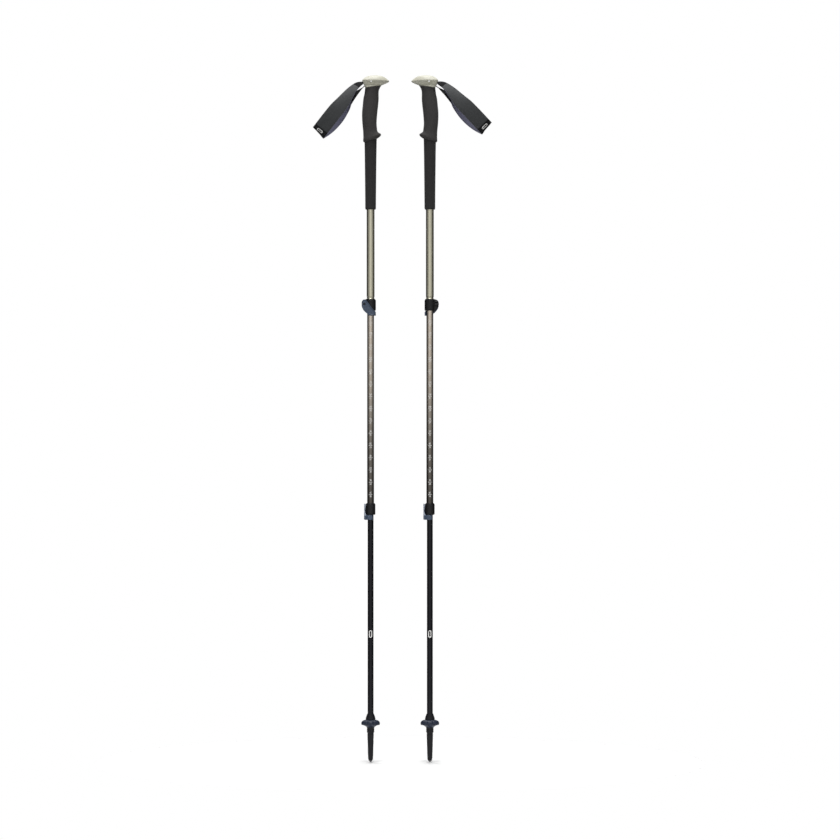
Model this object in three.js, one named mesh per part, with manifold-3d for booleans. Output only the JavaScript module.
// A pair of three-section telescoping trekking poles, standing side by side on their tips.
// Millimetres, +Z up. The origin lies on the ground midway between the two tips; X runs from the
// left pole to the right one and -Y is the front.

import * as THREE from "three";
import { mergeVertices } from "three/addons/utils/BufferGeometryUtils.js";
import Module from "manifold-3d";

const wasm = await Module();
wasm.setup();

// Driving dimensions.
const POLE_SPACING = 121;
const CLEARANCE = 0.3;
const ROUND_SIDES = 16;
const SMALL_SIDES = 10;
const GRIP_SIDES = 18;
const ARC_STEPS = 6;

const UPPER_TUBE = { outer: 8, inner: 7.25, bottom: 923.1, top: 1376.2 };
const MIDDLE_TUBE = { outer: 7, inner: 6.25, bottom: 506.5, top: 978 };
const LOWER_TUBE = { outer: 6, inner: 5.2, bottom: 88.3, top: 575 };
const CLAMP_SLIT = { width: 2, length: 30 };

const HEAD_BASE = 1378.5;
const HEAD_TOP = 1402;
const HEAD_SLOPE = 0.1;
const HEAD_BEAK = 37;
const HEAD_REAR = 14.6;
const HEAD_HALF_WIDTH = 17.2;
const SPIGOT_BOTTOM = 1362;

const STRAP_PIN = { x: 1.5, z: 1389, radius: 1.5, halfLength: 15.4 };
const WEBBING = { thickness: 1.6, halfWidth: 8.5, slope: Math.tan(THREE.MathUtils.degToRad(15)) };
const STRAP_ROOT = { out: 15.4, z: 1384.8, radius: 3 };
const STRAP_END_WIDTH = 31.6;
const STRAP_PAD_THICKNESS = 3.2;
const RIGHT_STRAP_RAISE = 5.5;

const GRIP_BORE = UPPER_TUBE.outer + CLEARANCE;
const RIDGE_SLOPE = 0.3;
const EXTENSION_END = 1128;

const COLLAR_HEIGHT = 23.8;
const COLLAR_WALL = 2.5;
const COLLAR_CHAMFER = 3;
const COLLAR_LIP = 1.2;
const PIVOT_DROP = 10.4;
const UPPER_COLLAR_BOTTOM = 921.6;
const LOWER_COLLAR_BOTTOM = 505;
const SLIT_HALF_GAP = 1.2;
const EAR = { out: 13, halfHeight: 5.8, radius: 5, face: 3.3 };
const BOSS = { radius: 5.4, face: -7, recessRadius: 4.3, recessFloor: -4.4 };
const SCREW = { shank: 1.6, hole: 1.9, head: 4, headBottom: -6.7, headTop: -4.7, end: 11 };
const WASHER = { radius: 3.6, bottom: 3.6, top: 4.2 };
const HINGE = { out: 13, across: 9.6 };
const BARREL_NUT = { radius: 2.6, bottom: -5, top: 8.6 };
const LEVER = { inner: 8.7, outer: 12.8, radius: 8.2, knuckle: 5, collarRoom: 11.1 };
const LEVER_HEAD = { out: 9.8, up: 2 };
const LEVER_TOE = { out: -2.2, up: -14.6 };
const LEVER_OPENING = 95;
const HOOK = { out: 0.6, across: 1.5, inner: 9.2, outer: 11.3, bottom: -24, top: -13.8 };

const BUSHING = { bore: 3, plug: 12, flange: 2.2 };
const FERRULE = { tip: 4, stem: 6.6, seat: 87, bellTop: 99, spigotTop: 118 };
const CARBIDE = { radius: 2.3, flat: 1.7, top: 15.7 };
const BASKET = { bottom: 61, top: 86.7, hub: 7.6, rim: 19, rimHeight: 80, notches: 8 };

// Finishes.
const finish = (color, roughness, metalness) =>
  new THREE.MeshStandardMaterial({ color, roughness, metalness });
const MATERIALS = {
  head: finish(0xd6d2c2, 0.5, 0),
  foam: finish(0x3a3a3a, 0.95, 0),
  extension: finish(0x323030, 0.95, 0),
  champagne: finish(0xa8a48c, 0.35, 1),
  taupe: finish(0x857b70, 0.35, 1),
  black_tube: finish(0x17181b, 0.4, 1),
  clamp: finish(0x1f2022, 0.45, 0),
  lever: finish(0x3e4c5e, 0.5, 0),
  steel: finish(0x9a9ca0, 0.3, 1),
  bushing: finish(0x2a2a2a, 0.5, 0),
  ferrule: finish(0x1d1e22, 0.5, 0),
  carbide: finish(0x7d7f82, 0.3, 1),
  basket: finish(0x2b3040, 0.55, 0),
  webbing: finish(0x2c2e30, 0.9, 0),
};

// Closed triangle meshes and their joins and cuts.

function closed(geometry) {
  geometry.deleteAttribute("normal");
  geometry.deleteAttribute("uv");
  const merged = mergeVertices(geometry, 1e-4);
  const corners = merged.index.array;
  const kept = [];
  for (let i = 0; i < corners.length; i += 3) {
    const triangle = Array.from(corners.slice(i, i + 3));
    if (new Set(triangle).size === 3) {
      kept.push(...triangle);
    }
  }
  merged.setIndex(kept);
  return merged;
}

function solidOf(geometry) {
  const mesh = closed(geometry);
  return new wasm.Manifold(new wasm.Mesh({
    numProp: 3,
    vertProperties: mesh.attributes.position.array,
    triVerts: Uint32Array.from(mesh.index.array),
  }));
}

function geometryOf(solid) {
  const { vertProperties, triVerts } = solid.getMesh();
  const geometry = new THREE.BufferGeometry();
  geometry.setAttribute("position", new THREE.BufferAttribute(vertProperties, 3));
  geometry.setIndex(new THREE.BufferAttribute(triVerts, 1));
  return geometry;
}

const join = (...pieces) => geometryOf(pieces.map(solidOf).reduce((a, b) => a.add(b)));
const cut = (body, ...tools) => geometryOf(tools.map(solidOf).reduce((a, b) => a.subtract(b), solidOf(body)));
const common = (...pieces) => geometryOf(pieces.map(solidOf).reduce((a, b) => a.intersect(b)));

// Basic shapes.

// A solid of revolution about Z. The profile is [radius, z] pairs, anticlockwise in that plane.
function revolve(profile, sides = ROUND_SIDES) {
  const points = profile.map(([radius, z]) => new THREE.Vector2(radius, z));
  if (profile[0][0] > 0) {
    points.push(points[0].clone());
  }
  return closed(new THREE.LatheGeometry(points, sides).rotateX(Math.PI / 2));
}

function uprightCylinder(radius, bottom, top, x = 0, y = 0, sides = ROUND_SIDES) {
  const cylinder = new THREE.CylinderGeometry(radius, radius, top - bottom, sides);
  return cylinder.rotateX(Math.PI / 2).translate(x, y, (top + bottom) / 2);
}

function crossCylinder(radius, start, end, x, z, sides = SMALL_SIDES) {
  const cylinder = new THREE.CylinderGeometry(radius, radius, end - start, sides);
  return cylinder.translate(x, (start + end) / 2, z);
}

function block([x0, x1], [y0, y1], [z0, z1]) {
  const box = new THREE.BoxGeometry(x1 - x0, y1 - y0, z1 - z0);
  return box.translate((x0 + x1) / 2, (y0 + y1) / 2, (z0 + z1) / 2);
}

// An outline drawn in the XZ plane, given thickness along Y.
function plate(shape, start, end) {
  const extruded = new THREE.ExtrudeGeometry(shape, {
    depth: end - start, bevelEnabled: false, curveSegments: ARC_STEPS,
  });
  return extruded.rotateX(Math.PI / 2).translate(0, end, 0);
}

function polygon(points) {
  return new THREE.Shape(points.map(([x, y]) => new THREE.Vector2(x, y)));
}

// A skin over rings of points, closed by a fan at each end. Each ring runs anticlockwise as seen
// from the next one.
function loft(rings) {
  const count = rings[0].length;
  const points = rings.flat();
  const triangles = [];
  for (let ring = 0; ring + 1 < rings.length; ring += 1) {
    for (let i = 0; i < count; i += 1) {
      const next = (i + 1) % count;
      const [a, b] = [ring * count + i, ring * count + next];
      triangles.push(a, b, b + count, a, b + count, a + count);
    }
  }
  for (const end of [0, rings.length - 1]) {
    const middle = new THREE.Vector3();
    rings[end].forEach((point) => middle.addScaledVector(point, 1 / count));
    points.push(middle);
    for (let i = 0; i < count; i += 1) {
      const [a, b] = [end * count + i, end * count + ((i + 1) % count)];
      triangles.push(points.length - 1, ...(end === 0 ? [b, a] : [a, b]));
    }
  }
  const geometry = new THREE.BufferGeometry().setFromPoints(points);
  geometry.setIndex(triangles);
  return geometry;
}

// An oval ring about the tube: its rear and front edges, its half width, and the height at the
// tube's axis of a plane that rises towards the front by slope. taper narrows its front.
function oval({ rear, front, halfWidth, height, slope = 0, taper = 0 }) {
  const ring = [];
  for (let i = 0; i < GRIP_SIDES; i += 1) {
    const angle = (2 * Math.PI * i) / GRIP_SIDES;
    const x = (front + rear) / 2 + ((front - rear) / 2) * Math.cos(angle);
    const y = halfWidth * Math.sin(angle) * (1 - taper * Math.cos(angle));
    ring.push(new THREE.Vector3(x, y, height + slope * x));
  }
  return ring;
}

// Tubes.

function tube({ outer, inner, bottom, top }) {
  return revolve([[inner, bottom], [outer, bottom], [outer, top], [inner, top]]);
}

// A tube whose lower end is slit, so that the collar round it can squeeze the tube inside it.
function slitTube(size) {
  const half = CLAMP_SLIT.width / 2;
  const slitTop = size.bottom + CLAMP_SLIT.length;
  return cut(tube(size), block([0, 2 * size.outer], [-half, half], [size.bottom - 1, slitTop]));
}

// The plug with a flange that centres a tube's upper end in the tube round it.
function bushing(tubeSize, roundTube) {
  const plug = tubeSize.inner - CLEARANCE;
  const flange = roundTube.inner - CLEARANCE;
  const seat = tubeSize.top + CLEARANCE;
  return revolve([
    [BUSHING.bore, tubeSize.top - BUSHING.plug], [plug, tubeSize.top - BUSHING.plug], [plug, seat],
    [flange, seat], [flange, seat + BUSHING.flange], [BUSHING.bore, seat + BUSHING.flange],
  ]);
}

// The grip head: a mushroom with a beak towards the front, a slot for the strap and a spigot.

function headShell() {
  const rings = [
    { height: HEAD_BASE, rear: -13.4, front: 16, halfWidth: 13.6, slope: HEAD_SLOPE },
    { height: HEAD_BASE + 3.5, rear: -14, front: 19, halfWidth: 14.6, slope: HEAD_SLOPE / 2 },
    { height: 1385.5, rear: -14.4, front: 26, halfWidth: 15.6 },
    { height: 1388, rear: -14.6, front: 33, halfWidth: 16.6 },
    { height: 1389.5, rear: -HEAD_REAR, front: 36.4, halfWidth: 17.1 },
    { height: 1391, rear: -HEAD_REAR, front: HEAD_BEAK, halfWidth: HEAD_HALF_WIDTH },
    { height: 1393.5, rear: -13.3, front: 34.5, halfWidth: 16.3 },
    { height: 1396.5, rear: -10.5, front: 29, halfWidth: 14.2 },
    { height: 1399.5, rear: -5.5, front: 22, halfWidth: 10.5 },
    { height: 1401.4, rear: 0, front: 16, halfWidth: 6.5 },
    { height: HEAD_TOP, rear: 6, front: 10, halfWidth: 2 },
  ];
  return loft(rings.map((ring) => oval({ ...ring, taper: 0.18 })));
}

function strapSlot() {
  const lift = (x) => WEBBING.slope * x;
  const outline = polygon([
    [-22, 1384.4 + lift(-22)], [6, 1384.4 + lift(6)], [6, 1393], [0.6, 1393], [-22, 1392.9 + lift(-22)],
  ]);
  const side = WEBBING.halfWidth + 2 * CLEARANCE;
  return plate(outline, -side, side);
}

function gripHead() {
  const spigot = uprightCylinder(UPPER_TUBE.inner - CLEARANCE, SPIGOT_BOTTOM, HEAD_BASE + 4);
  const pinHole = crossCylinder(
    STRAP_PIN.radius + CLEARANCE, -HEAD_BEAK, HEAD_BEAK, STRAP_PIN.x, STRAP_PIN.z,
  );
  const rootRoom = crossCylinder(
    STRAP_ROOT.radius + 2 * CLEARANCE, -WEBBING.halfWidth - 1, WEBBING.halfWidth + 1,
    -STRAP_ROOT.out, STRAP_ROOT.z, ROUND_SIDES,
  );
  return cut(join(headShell(), spigot), strapSlot(), pinHole, rootRoom);
}

function strapPin() {
  const { x, z, radius, halfLength } = STRAP_PIN;
  return crossCylinder(radius, -halfLength, halfLength, x, z);
}

// The webbing round the pin: both legs run back towards the slot's mouth.
function strapAnchor() {
  const lean = Math.atan(WEBBING.slope);
  const inner = STRAP_PIN.radius + 0.4;
  const outer = inner + WEBBING.thickness;
  const legLength = 12.6;
  const upper = Math.PI / 2 + lean;
  const at = (radius, angle, back) => [
    STRAP_PIN.x + radius * Math.cos(angle) - back * Math.cos(lean),
    STRAP_PIN.z + radius * Math.sin(angle) - back * Math.sin(lean),
  ];
  const shape = new THREE.Shape();
  shape.moveTo(...at(outer, upper - Math.PI, legLength));
  shape.lineTo(...at(outer, upper - Math.PI, 0));
  shape.absarc(STRAP_PIN.x, STRAP_PIN.z, outer, upper - Math.PI, upper, false);
  shape.lineTo(...at(outer, upper, legLength));
  shape.lineTo(...at(inner, upper, legLength));
  shape.lineTo(...at(inner, upper, 0));
  shape.absarc(STRAP_PIN.x, STRAP_PIN.z, inner, upper, upper - Math.PI, true);
  shape.lineTo(...at(inner, upper - Math.PI, legLength));
  return plate(shape, -WEBBING.halfWidth, WEBBING.halfWidth);
}

// The wedge between the two legs, which holds the strap at the length that was pulled through.
function strapWedge() {
  const halfHeight = STRAP_PIN.radius;
  const middle = (x) => STRAP_PIN.z + WEBBING.slope * (x - STRAP_PIN.x);
  const [back, front] = [-9.6, -1.4];
  const outline = polygon([
    [back, middle(back) - halfHeight], [front, middle(front) - halfHeight],
    [front, middle(front) + halfHeight], [back, middle(back) + halfHeight],
  ]);
  return plate(outline, -WEBBING.halfWidth, WEBBING.halfWidth);
}

// Foam grips.

function boredGrip(rings) {
  const bore = uprightCylinder(GRIP_BORE, EXTENSION_END - 10, HEAD_BASE + 10);
  return cut(loft(rings.map(oval)), bore);
}

function gripFoam() {
  return boredGrip([
    { height: 1269.5, rear: -13.2, front: 15, halfWidth: 13, slope: RIDGE_SLOPE },
    { height: 1272.4, rear: -15, front: 20, halfWidth: 14.6, slope: RIDGE_SLOPE },
    { height: 1275.2, rear: -15.1, front: 21.5, halfWidth: 15, slope: RIDGE_SLOPE },
    { height: 1279, rear: -14.8, front: 19, halfWidth: 14.4, slope: RIDGE_SLOPE },
    { height: 1285, rear: -15, front: 14.4, halfWidth: 13.2, slope: RIDGE_SLOPE / 2 },
    { height: 1293, rear: -15.6, front: 13.3, halfWidth: 13.2 },
    { height: 1305, rear: -17, front: 12.2, halfWidth: 14 },
    { height: 1317, rear: -17.5, front: 13, halfWidth: 14.6 },
    { height: 1329, rear: -17.3, front: 14, halfWidth: 14.8 },
    { height: 1341, rear: -16, front: 15.5, halfWidth: 14.6 },
    { height: 1354, rear: -14.8, front: 16.5, halfWidth: 14.2 },
    { height: 1367, rear: -13.2, front: 16.8, halfWidth: 13.8 },
    { height: HEAD_BASE - 0.4, rear: -13.2, front: 15.4, halfWidth: 13.4, slope: HEAD_SLOPE },
  ]);
}

function gripExtension() {
  return boredGrip([
    { height: EXTENSION_END, rear: -9.4, front: 9.4, halfWidth: 9.4 },
    { height: EXTENSION_END + 1, rear: -10.4, front: 10.4, halfWidth: 10.4 },
    { height: EXTENSION_END + 4, rear: -10.9, front: 10.9, halfWidth: 10.9 },
    { height: 1258, rear: -12.3, front: 12.3, halfWidth: 12.1 },
    { height: 1269.1, rear: -12.5, front: 12.9, halfWidth: 12.3, slope: RIDGE_SLOPE },
  ]);
}

// The lever lock. Its own frame has X out along the clamp's ears, Y across towards the lever, and
// its origin on the tube's axis at the height of the clamp screw.

function collar(clampedTube, tubeInside) {
  const bottom = PIVOT_DROP - COLLAR_HEIGHT;
  const top = PIVOT_DROP;
  const bore = clampedTube.outer + CLEARANCE;
  const wall = clampedTube.outer + CLEARANCE + COLLAR_WALL;
  const lip = tubeInside.outer + CLEARANCE;
  const chamferTop = wall - COLLAR_CHAMFER / 2;
  const ring = revolve([
    [lip, bottom], [wall, bottom], [wall, top - COLLAR_CHAMFER], [chamferTop, top],
    [bore, top], [bore, bottom + COLLAR_LIP], [lip, bottom + COLLAR_LIP],
  ]);
  const height = [-EAR.halfHeight, EAR.halfHeight];
  const earBlock = block([bore + 1, EAR.out], [-EAR.face, EAR.face], height);
  const earEnd = crossCylinder(EAR.radius, -EAR.face, EAR.face, EAR.out, 0, ROUND_SIDES);
  const boss = crossCylinder(BOSS.radius, BOSS.face, 0, EAR.out, 0, ROUND_SIDES);
  const tubeRoom = uprightCylinder(bore, bottom + COLLAR_LIP, top + 1);
  const slit = block([lip - 2, EAR.out * 2], [-SLIT_HALF_GAP, SLIT_HALF_GAP], [bottom - 1, top + 1]);
  const recess = crossCylinder(BOSS.recessRadius, BOSS.face - 1, BOSS.recessFloor, EAR.out, 0, ROUND_SIDES);
  const screwHole = crossCylinder(SCREW.hole, BOSS.face, EAR.face + 1, EAR.out, 0);
  const washerSeat = WASHER.radius + CLEARANCE;
  const seatRoom = crossCylinder(washerSeat, EAR.face, LEVER.inner, EAR.out, 0, ROUND_SIDES);
  return cut(join(ring, earBlock, earEnd, boss), tubeRoom, slit, recess, screwHole, seatRoom);
}

function clampScrew() {
  const shank = crossCylinder(SCREW.shank, SCREW.headTop - 0.5, SCREW.end, EAR.out, 0);
  const head = crossCylinder(SCREW.head, SCREW.headBottom, SCREW.headTop, EAR.out, 0, ROUND_SIDES);
  const depth = [SCREW.headBottom - 1, SCREW.headBottom + 1.2];
  const [long, short] = [2.4, 0.5];
  const level = block([EAR.out - long, EAR.out + long], depth, [-short, short]);
  const upright = block([EAR.out - short, EAR.out + short], depth, [-long, long]);
  return cut(join(head, shank), level, upright);
}

function camWasher() {
  const disc = crossCylinder(WASHER.radius, WASHER.bottom, WASHER.top, EAR.out, 0, ROUND_SIDES);
  return cut(disc, crossCylinder(SCREW.hole, 0, HINGE.across, EAR.out, 0));
}

function barrelNut() {
  const { radius, bottom, top } = BARREL_NUT;
  const barrel = uprightCylinder(radius, bottom, top, HINGE.out, HINGE.across, SMALL_SIDES);
  return cut(barrel, crossCylinder(SCREW.hole, 0, 2 * HINGE.across, HINGE.out, 0));
}

// The lever's face: two equal round ends joined by straight sides.
function leverOutline() {
  const { out: headX, up: headZ } = LEVER_HEAD;
  const { out: toeX, up: toeZ } = LEVER_TOE;
  const along = Math.atan2(headZ - toeZ, headX - toeX);
  const shape = new THREE.Shape();
  shape.absarc(headX, headZ, LEVER.radius, along - Math.PI / 2, along + Math.PI / 2, false);
  shape.absarc(toeX, toeZ, LEVER.radius, along + Math.PI / 2, along + (3 * Math.PI) / 2, false);
  return shape;
}

// The arm that wraps round the tube below the collar.
function leverHook() {
  const [start, end] = [70, 212].map(THREE.MathUtils.degToRad);
  const shape = new THREE.Shape();
  shape.absarc(HOOK.out, HOOK.across, HOOK.outer, start, end, false);
  shape.absarc(HOOK.out, HOOK.across, HOOK.inner, end, start, true);
  const band = new THREE.ExtrudeGeometry(shape, {
    depth: HOOK.top - HOOK.bottom, bevelEnabled: false, curveSegments: ARC_STEPS + 2,
  });
  return band.translate(0, 0, HOOK.bottom);
}

// The slot that the clamp screw sweeps through the lever's head as the lever opens.
function screwSweep() {
  const steps = 5;
  const boxes = [];
  for (let i = 0; i <= steps; i += 1) {
    const turn = THREE.MathUtils.degToRad((LEVER_OPENING * i) / steps);
    const half = SCREW.hole;
    const box = block([-half, half], [-2 * LEVER.knuckle, 0], [-half, half]);
    boxes.push(box.rotateZ(turn).translate(HINGE.out, HINGE.across, 0));
  }
  return join(...boxes);
}

function lever() {
  const face = plate(leverOutline(), LEVER.inner, LEVER.outer);
  const pastHinge = block([HINGE.out, 4 * EAR.out], [0, 2 * LEVER.outer], [-30, 30]);
  const roller = uprightCylinder(LEVER.knuckle, -30, 30, HINGE.out, HINGE.across);
  const knuckle = common(roller, plate(leverOutline(), 0, LEVER.outer));
  const collarRoom = uprightCylinder(LEVER.collarRoom, PIVOT_DROP - COLLAR_HEIGHT - CLEARANCE, 30);
  const nutRadius = BARREL_NUT.radius + CLEARANCE;
  const nutBore = uprightCylinder(nutRadius, -30, 30, HINGE.out, HINGE.across, SMALL_SIDES);
  const peephole = crossCylinder(2.4, HINGE.across, 2 * LEVER.outer, HINGE.out, 0);
  const body = join(cut(face, pastHinge), knuckle, leverHook());
  return cut(body, collarRoom, nutBore, peephole, screwSweep());
}

// The tip: a plastic ferrule with a bell round the tube's end, the basket on its stem, the carbide.

function tipFerrule() {
  const tubeRoom = LOWER_TUBE.outer + CLEARANCE;
  const pocket = CARBIDE.radius + CLEARANCE;
  return revolve([
    [0, CARBIDE.top + CLEARANCE], [pocket, CARBIDE.top + CLEARANCE], [pocket, FERRULE.tip],
    [4.4, FERRULE.tip], [5.4, 11], [5.6, 20], [FERRULE.stem, 60], [FERRULE.stem, FERRULE.seat],
    [10, FERRULE.seat], [10, 89], [8.6, 95], [6.9, FERRULE.bellTop], [tubeRoom, FERRULE.bellTop],
    [tubeRoom, LOWER_TUBE.bottom - CLEARANCE],
    [LOWER_TUBE.inner - CLEARANCE, LOWER_TUBE.bottom - CLEARANCE],
    [LOWER_TUBE.inner - CLEARANCE, FERRULE.spigotTop], [0, FERRULE.spigotTop],
  ]);
}

function carbideTip() {
  return revolve([
    [0, 0], [CARBIDE.flat, 0], [CARBIDE.radius, 1.6], [CARBIDE.radius, CARBIDE.top], [0, CARBIDE.top],
  ], SMALL_SIDES);
}

function basket() {
  const { bottom, top, hub, rim, rimHeight, notches } = BASKET;
  const bore = FERRULE.stem + CLEARANCE;
  const disc = revolve([
    [bore, bottom], [hub, bottom], [hub, bottom + 10.5], [10, bottom + 11.4], [17.4, rimHeight - 2.4],
    [rim, rimHeight - 1], [rim, rimHeight + 0.6], [17.2, rimHeight + 2], [11.5, rimHeight + 4.6],
    [10, top], [bore, top],
  ]);
  const cuts = [];
  for (let i = 0; i < notches; i += 1) {
    const angle = (2 * Math.PI * (i + 0.5)) / notches;
    const reach = rim + 1.6;
    const [x, y] = [reach * Math.cos(angle), reach * Math.sin(angle)];
    cuts.push(uprightCylinder(3.4, bottom, top, x, y, SMALL_SIDES));
  }
  return cut(disc, ...cuts);
}

// The wrist strap: a webbing loop that lies flat across the slot and turns a quarter turn, so that
// its wide padded end faces the front. It is drawn by how far out from the tube it reaches.

function strapPlace(side, raise, [out, y, z]) {
  const turn = THREE.MathUtils.degToRad(raise);
  const offset = new THREE.Vector2(out - STRAP_ROOT.out, z - STRAP_ROOT.z);
  offset.rotateAround(new THREE.Vector2(), turn);
  const x = side * (POLE_SPACING / 2 + STRAP_ROOT.out + offset.x);
  return new THREE.Vector3(x, y, STRAP_ROOT.z + offset.y);
}

const FRONT_BAND = [
  [15.4, 0, 1385.8], [25, -2, 1380.3], [40.5, -8, 1367.8], [54, -14, 1349.5], [73.2, -16, 1325.5],
  [93, -9, 1302], [104.5, -1.8, 1287.2],
];
const BACK_BAND = [
  [15.4, 0, 1383.8], [22.4, 2, 1375], [34, 8, 1363.8], [48.8, 14, 1346], [59.5, 16, 1326.7],
  [74, 15, 1306], [90, 9, 1291.5], [104.5, 1.8, 1287.2],
];

function strapBand(side, raise, route) {
  const curve = new THREE.CatmullRomCurve3(route.map((point) => strapPlace(side, raise, point)));
  const steps = 20;
  const rings = [];
  for (let i = 0; i <= steps; i += 1) {
    const travel = i / steps;
    const centre = curve.getPointAt(travel);
    const along = curve.getTangentAt(travel);
    const spread = THREE.MathUtils.smoothstep(travel, 0, 0.72);
    const turn = (Math.PI / 2) * THREE.MathUtils.smoothstep(travel, -0.1, 0.75);
    const across = new THREE.Vector3(0, 1, 0);
    const upward = new THREE.Vector3().crossVectors(along, across);
    upward.multiplyScalar(Math.sign(upward.z));
    const edge = across.multiplyScalar(Math.cos(turn)).addScaledVector(upward.normalize(), Math.sin(turn));
    edge.addScaledVector(along, -edge.dot(along)).normalize();
    const normal = new THREE.Vector3().crossVectors(along, edge);
    edge.multiplyScalar(THREE.MathUtils.lerp(WEBBING.halfWidth, STRAP_END_WIDTH / 2, spread));
    normal.multiplyScalar(THREE.MathUtils.lerp(WEBBING.thickness, STRAP_PAD_THICKNESS, spread) / 2);
    rings.push([[1, -1], [1, 1], [-1, 1], [-1, -1]].map(([e, n]) =>
      centre.clone().addScaledVector(edge, e).addScaledVector(normal, n)));
  }
  return loft(rings);
}

// A bar between two points, such as the strap's folded end or its root at the slot.
function bar(radius, start, end) {
  const along = new THREE.Vector3().subVectors(end, start);
  const cylinder = new THREE.CylinderGeometry(radius, radius, along.length(), SMALL_SIDES);
  const turn = new THREE.Quaternion().setFromUnitVectors(
    new THREE.Vector3(0, 1, 0), along.clone().normalize(),
  );
  return cylinder.applyQuaternion(turn).translate(...start.clone().lerp(end, 0.5));
}

function wristStrap(side, raise) {
  const place = (point) => strapPlace(side, raise, point);
  const root = bar(
    STRAP_ROOT.radius, place([STRAP_ROOT.out, -WEBBING.halfWidth, STRAP_ROOT.z]),
    place([STRAP_ROOT.out, WEBBING.halfWidth, STRAP_ROOT.z]),
  );
  const fold = bar(STRAP_PAD_THICKNESS, place([115.2, 0, 1298.2]), place([94.6, 0, 1274.6]));
  return join(
    strapBand(side, raise, FRONT_BAND), strapBand(side, raise, BACK_BAND), root, fold,
  );
}

// The assembly.

const GEOMETRY = {
  grip_head: gripHead(),
  strap_pin: strapPin(),
  strap_anchor: strapAnchor(),
  strap_wedge: strapWedge(),
  grip_foam: gripFoam(),
  grip_extension: gripExtension(),
  lever: lever(),
  clamp_screw: clampScrew(),
  cam_washer: camWasher(),
  barrel_nut: barrelNut(),
  upper_collar: collar(UPPER_TUBE, MIDDLE_TUBE),
  lower_collar: collar(MIDDLE_TUBE, LOWER_TUBE),
  upper_tube: slitTube(UPPER_TUBE),
  middle_tube: slitTube(MIDDLE_TUBE),
  lower_tube: tube(LOWER_TUBE),
  middle_bushing: bushing(MIDDLE_TUBE, UPPER_TUBE),
  lower_bushing: bushing(LOWER_TUBE, MIDDLE_TUBE),
  tip_ferrule: tipFerrule(),
  carbide_tip: carbideTip(),
  basket: basket(),
};

function named(name, geometry, material) {
  const mesh = new THREE.Mesh(geometry, material);
  mesh.name = name;
  return mesh;
}

// Pieces that share one place and one turn about the tube's axis.
function turned(prefix, degrees, height, pieces) {
  const group = new THREE.Group();
  group.position.z = height;
  group.rotation.z = THREE.MathUtils.degToRad(degrees);
  for (const [name, geometry, material] of pieces) {
    group.add(named(`${prefix}_${name}`, GEOMETRY[geometry], MATERIALS[material]));
  }
  return group;
}

function leverLock(prefix, level, degrees, collarBottom) {
  const pivotHeight = collarBottom + COLLAR_HEIGHT - PIVOT_DROP;
  return turned(prefix, degrees, pivotHeight, [
    [`${level}_collar`, `${level}_collar`, "clamp"],
    [`${level}_clamp_screw`, "clamp_screw", "steel"],
    [`${level}_cam_washer`, "cam_washer", "steel"],
    [`${level}_barrel_nut`, "barrel_nut", "steel"],
    [`${level}_lever`, "lever", "lever"],
  ]);
}

// side is -1 for the left pole and 1 for the right one. Each beak points at the other pole, and
// each upper clamp's ears point away from it; both lower clamps' ears point to the rear.
function pole(prefix, side) {
  const facing = side < 0 ? 0 : 180;
  const upright = new THREE.Group();
  upright.position.x = (side * POLE_SPACING) / 2;
  upright.add(
    turned(prefix, facing, 0, [
      ["grip_head", "grip_head", "head"],
      ["strap_pin", "strap_pin", "steel"],
      ["strap_anchor", "strap_anchor", "webbing"],
      ["strap_wedge", "strap_wedge", "clamp"],
      ["grip_foam", "grip_foam", "foam"],
      ["grip_extension", "grip_extension", "extension"],
    ]),
    turned(prefix, facing + 180, 0, [["upper_tube", "upper_tube", "champagne"]]),
    leverLock(prefix, "upper", facing + 180, UPPER_COLLAR_BOTTOM),
    turned(prefix, 90, 0, [
      ["middle_tube", "middle_tube", "taupe"],
      ["middle_bushing", "middle_bushing", "bushing"],
      ["lower_tube", "lower_tube", "black_tube"],
      ["lower_bushing", "lower_bushing", "bushing"],
      ["tip_ferrule", "tip_ferrule", "ferrule"],
      ["carbide_tip", "carbide_tip", "carbide"],
      ["basket", "basket", "basket"],
    ]),
    leverLock(prefix, "lower", 90, LOWER_COLLAR_BOTTOM),
  );
  return upright;
}

const trekkingPoles = new THREE.Group();
trekkingPoles.add(
  pole("left", -1),
  pole("right", 1),
  named("left_wrist_strap", wristStrap(-1, 0), MATERIALS.webbing),
  named("right_wrist_strap", wristStrap(1, RIGHT_STRAP_RAISE), MATERIALS.webbing),
);

export default trekkingPoles;
